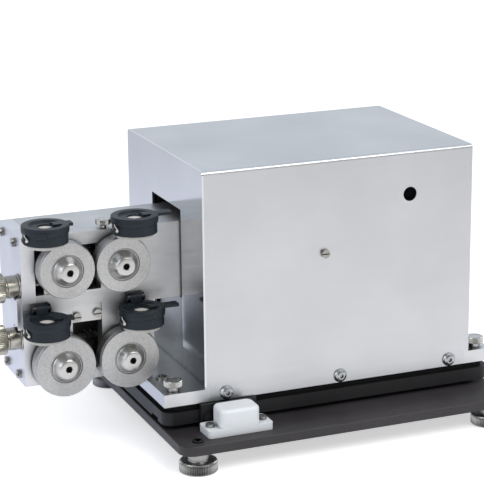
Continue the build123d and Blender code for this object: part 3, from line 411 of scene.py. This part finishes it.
def build_foot(name):
    """Knurled foot with its neck, and a dark stud with a hexagon socket."""
    centre = node_frame(name, "Z")
    stud_top = extent(name, "Z")
    rows = [(0.0, 0.0, None)]
    rows += knurled_rows(foot_radius, 0.0, foot_height, foot_ridges, foot_ridge_depth, foot_chamfer)
    rows += rounded([
        (7.2, foot_height), (7.0, 8.3), (7.0, neck_top), (3.6, neck_top), (3.6, 13.4), (0.0, 13.4),
    ], 0.25)
    steps = foot_ridges * 6
    lathe(f"{name}_turned", rows, centre, "Z", steps, "foot_metal", name, (name,))
    rows = rounded([(0.0, 13.2), (stud_radius, 13.2), (stud_radius, stud_top), (2.9, stud_top)], 0.25)
    rows += [
        (socket_radius, stud_top, hexagon), (socket_radius, stud_top - socket_depth, hexagon),
        (0.0, stud_top - 4.2, None),
    ]
    lathe(f"{name}_stud", rows, centre, "Z", 96, "dark_steel", name)


def build_thumb(name, shank, neck, head, count, depth):
    """Thumb screw: shank and neck as (radius, length), and a knurled head with a shallow dish."""
    centre = node_frame(name, "Z")
    top = extent(name, "Z")
    shank_radius, shank_length = shank
    neck_radius, neck_length = neck
    head_bottom = shank_length + neck_length
    rows = rounded([
        (0.0, 0.0), (shank_radius, 0.0), (shank_radius, shank_length), (neck_radius, shank_length),
        (neck_radius, head_bottom),
    ], 0.2)
    rows += knurled_rows(head, head_bottom, top, count, depth, 0.5)
    rows += rounded([(head - 2.0, top), (head - 2.4, top - 0.35), (0.0, top - 0.35)], 0.2)
    lathe(f"{name}_turned", rows, centre, "Z", count * 6, "turned", name, (name,))


for corner in corners:
    build_foot(f"foot_{corner}")
    build_thumb(f"thumb_{corner}", **deck_thumb)
build_thumb("thumb_arm", **arm_thumb)


# Gap knobs, from the grip's end towards the carrier
grip_radius, grip_length = 10.0, 14.0
collar_radius, collar_end = 7.6, 24.0
knob_screw_radius, knob_screw_gap = 2.4, 0.3
knob_ridges, knob_ridge_depth = 48, 0.55


def build_knob(name):
    """Knurled grip, grooved collar and the screw that goes into the carrier."""
    centre = node_frame(name, "X")
    tip = extent(name, "X") - knob_screw_gap
    ridge = ridges(knob_ridges, knob_ridge_depth)
    rows = rounded([(0.0, 0.6), (6.0, 0.6), (6.4, 0.0), (8.6, 0.0)], 0.2)
    rows += [(9.6, 0.8, ridge), (grip_radius, 1.4, ridge), (grip_radius, 12.6, ridge), (9.6, 13.2, ridge)]
    rows += rounded([
        (8.6, 13.6), (6.9, grip_length), (6.9, 15.2), (collar_radius, 15.5), (collar_radius, 22.4),
        (7.2, 22.6), (7.2, 23.0), (8.2, 23.0), (8.2, collar_end), (knob_screw_radius, collar_end),
        (knob_screw_radius, tip), (0.0, tip),
    ], 0.2)
    steps = knob_ridges * 4
    lathe(f"{name}_turned", rows, centre, "X", steps, "knob_metal", name, (name,))


build_knob("knob_upper")
build_knob("knob_lower")


# Rims, ribs, clips and wires of the felt holders, which ride on the caps
cap_rise = 1.4  # from the felt's top to the cap's top
rib_count, rib_place, rib_size = 24, 13.9, (2.4, 0.9, 0.7)
grip_turn, grip_place, grip_size = math.radians(-118), 15.6, (1.6, 9.0, 4.4)
ear_offset = (-14.6, -5.2, -7.0)


def cap_top(place):
    """Middle of a cap's top, in millimetres."""
    low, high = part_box(f"felt_{place}")
    return (low[0] + high[0]) / 2 / mm, (low[1] + high[1]) / 2 / mm, high[2] / mm + cap_rise


def block_on_rim(bm, centre, turn, radius, size):
    """Add a block at a radius round a centre, turned by an angle about Z, all in millimetres."""
    matrix = Matrix.Translation(Vector(centre) * mm) @ Matrix.Rotation(turn, 4, "Z")
    matrix = matrix @ Matrix.Translation(Vector((radius, 0, 0)) * mm)
    matrix = matrix @ Matrix.Diagonal((*(length * mm for length in size), 1))
    bmesh.ops.create_cube(bm, size=1.0, matrix=matrix)


def wire(name, points, radius, look, body):
    """A thin bent wire through points in millimetres, as a tube."""
    curve = bpy.data.curves.new(name, "CURVE")
    curve.dimensions = "3D"
    curve.bevel_depth = radius * mm
    curve.bevel_resolution = 3
    curve.resolution_u = 8
    curve.use_fill_caps = True
    spline = curve.splines.new("NURBS")
    spline.points.add(len(points) - 1)
    for target, point in zip(spline.points, points):
        target.co = (*(Vector(point) * mm), 1)
    spline.order_u = 3
    spline.use_endpoint_u = True
    curve.materials.append(materials[look])
    piece = bpy.data.objects.new(name, curve)
    bpy.context.collection.objects.link(piece)
    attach(piece, body)


def build_lid(place):
    """Raised rim and radial ribs on top of a cap, and the grip of the upper left one."""
    body = f"holder_{place}"
    x, y, top = cap_top(place)
    lathe(f"rim_{place}", rounded([
        (14.7, -4.4), (15.2, -4.4), (15.6, -4.0), (15.9, -2.2), (15.9, -0.5), (15.4, 0.25), (12.6, 0.25),
        (12.2, -0.6),
    ], 0.25), Vector((x, y, top)) * mm, "Z", 96, "cap_black", body)
    bm = bmesh.new()
    for step in range(rib_count):
        turn = 2 * math.pi * (step + 0.5) / rib_count
        block_on_rim(bm, (x, y, top + 0.3), turn, rib_place, rib_size)
    finish_piece(f"ribs_{place}", bm, "cap_black", body)
    if place == "upper_left":
        bm = bmesh.new()
        block_on_rim(bm, (x, y, top - 3.0), grip_turn, grip_place, grip_size)
        bmesh.ops.bevel(bm, geom=bm.edges[:], offset=0.5 * mm, segments=3, affect="EDGES", profile=0.5)
        finish_piece(f"grip_{place}", bm, "cap_black", body)


def build_clip(place):
    """Ear with a bright pin on the cap's left, and a bent wire round it."""
    body = f"holder_{place}"
    x, y, z = (a + b for a, b in zip(cap_top(place), ear_offset))
    centre = Vector((x, y, z)) * mm
    ring = rounded([(1.1, -1.6), (2.6, -1.6), (2.6, 2.4), (1.1, 2.4)], 0.3) + [(1.1, -1.6, None)]
    lathe(f"ear_{place}", ring, centre, "Y", 40, "cap_black", body)
    pin = rounded([(0.0, -2.5), (0.75, -2.5), (1.05, -2.1), (1.05, 2.3), (0.0, 2.3)], 0.15)
    lathe(f"pin_{place}", pin, centre, "Y", 32, "wire_pale", body)
    wire(f"spring_{place}", [
        (x + 0.2, y - 2.0, z + 0.9), (x - 1.2, y - 1.4, z + 2.6), (x - 0.6, y + 2.0, z + 4.2),
        (x + 2.0, y + 3.8, z + 5.0),
    ], 0.35, "wire_pale", body)


for place in wheel_places:
    build_lid(place)
    build_clip(place)


# Floor and backdrop: white to camera rays, a little darker and cooler far off in reflections

def backdrop_rays(tree, path):
    """1 for the rays that see the backdrop itself: camera, glossy and transmission rays."""
    share = path["Is Camera Ray"]
    for kind in ("Is Glossy Ray", "Is Transmission Ray"):
        share = add(tree, "Math", {0: share, 1: path[kind]}, operation="MAXIMUM").outputs[0]
    return share


floor_reach = 4
white, cool_floor, cool_sky = (1, 1, 1), (0.62, 0.72, 1.0), (0.82, 0.90, 1.0)
camera_glow, near_glow, far_glow = 0.55, 0.52, 0.22
camera_side = (-0.36, -0.85, 0.38)

floor_mesh = bpy.data.meshes.new("floor")
floor_mesh.from_pydata([
    (x * floor_reach, y * floor_reach, 0) for x, y in ((-1, -1), (1, -1), (1, 1), (-1, 1))
], [], [(0, 1, 2, 3)])
floor = bpy.data.objects.new("floor", floor_mesh)
bpy.context.collection.objects.link(floor)
floor_paint, tree, shader = new_material("floor_paint")
shader.inputs["Base Color"].default_value = (0.90, 0.90, 0.91, 1)
shader.inputs["Roughness"].default_value = 0.9
shader.inputs["Specular IOR Level"].default_value = 0.0
path = add(tree, "LightPath").outputs
ground = add(tree, "TexCoord").outputs["Object"]
away = add(tree, "VectorMath", {0: ground}, operation="LENGTH").outputs["Value"]
glow = add(
    tree, "Mix", {0: path["Is Camera Ray"], "A": remap(tree, away, (0.25, 0.90), (near_glow, far_glow))},
    {"B": camera_glow}, data_type="FLOAT",
)
behind_share = remap(tree, add(tree, "SeparateXYZ", {0: ground}).outputs["Y"], (-0.5, 0.5), (0.0, 1.0))
glow_colour = add(
    tree, "Mix",
    {0: path["Is Camera Ray"], "A": blend(tree, behind_share, (0.30, 0.60), white, cool_floor)},
    {"B": (*white, 1)}, data_type="RGBA",
)
emission = add(tree, "Emission", {"Strength": glow.outputs["Result"], "Color": glow_colour.outputs["Result"]})
lit = add(tree, "AddShader", {0: shader.outputs[0], 1: emission.outputs[0]})
surface = add(tree, "MixShader", {0: backdrop_rays(tree, path), 1: shader.outputs[0], 2: lit.outputs[0]})
tree.links.new(surface.outputs[0], tree.get_output_node("ALL").inputs[0])
floor_mesh.materials.append(floor_paint)

world = bpy.data.worlds.new("studio")
world.use_nodes = True
bpy.context.scene.world = world
tree = world.node_tree
tree.nodes.clear()
path = add(tree, "LightPath").outputs
heading = add(tree, "TexCoord").outputs["Generated"]
height = add(tree, "SeparateXYZ", {0: heading}).outputs["Z"]
sky = blend(tree, height, (0.02, 0.30), white, cool_sky)
facing = add(tree, "VectorMath", {0: heading}, {1: camera_side}, operation="DOT_PRODUCT").outputs["Value"]
room = scaled(tree, sky, remap(tree, facing, (0.25, 0.80), (1.0, 0.30)))
soft = add(tree, "Background", values={"Color": (0.93, 0.95, 1.0, 1), "Strength": 0.55})
bright = add(tree, "Background", {"Color": room}, {"Strength": 1.0})
surround = add(tree, "MixShader", {0: backdrop_rays(tree, path), 1: soft.outputs[0], 2: bright.outputs[0]})
add(tree, "OutputWorld", {0: surround.outputs[0]})


# Light

def area_light(name, place, target, size, power, colour):
    """A soft square lamp that looks at a point."""
    data = bpy.data.lights.new(name, "AREA")
    data.size = size
    data.energy = power
    data.color = colour
    lamp = bpy.data.objects.new(name, data)
    bpy.context.collection.objects.link(lamp)
    lamp.location = place
    lamp.rotation_euler = (Vector(target) - Vector(place)).to_track_quat("-Z", "Y").to_euler()


lamp_target = (0, 0, 0.08)
area_light("key", (0.5, -1.2, 1.5), lamp_target, 1.0, 14.0, (1.0, 0.98, 0.95))
area_light("fill", (-1.6, -0.6, 0.9), lamp_target, 1.2, 7.0, (0.90, 0.94, 1.0))


# Camera at the photograph's viewing angle
image_width = 484
focal_pixels = 1923.8
camera_place = Vector((-0.5284, -1.2049, 0.4884))
yaw, pitch, roll = math.radians(22.10), math.radians(15.49), math.radians(-0.580)
forward = Vector((math.sin(yaw) * math.cos(pitch), math.cos(yaw) * math.cos(pitch), -math.sin(pitch)))
level = Vector((math.cos(yaw), -math.sin(yaw), 0))
upright = level.cross(forward)
right = math.cos(roll) * level + math.sin(roll) * upright
above = -math.sin(roll) * level + math.cos(roll) * upright
camera_data = bpy.data.cameras.new("camera")
camera_data.sensor_fit = "HORIZONTAL"
camera_data.sensor_width = 36.0
camera_data.lens = focal_pixels * camera_data.sensor_width / image_width
camera = bpy.data.objects.new("camera", camera_data)
bpy.context.collection.objects.link(camera)
turn = Matrix((right, above, -forward)).transposed().to_4x4()
camera.matrix_world = Matrix.Translation(camera_place) @ turn
bpy.context.scene.camera = camera
bpy.context.scene.view_settings.view_transform = "Standard"
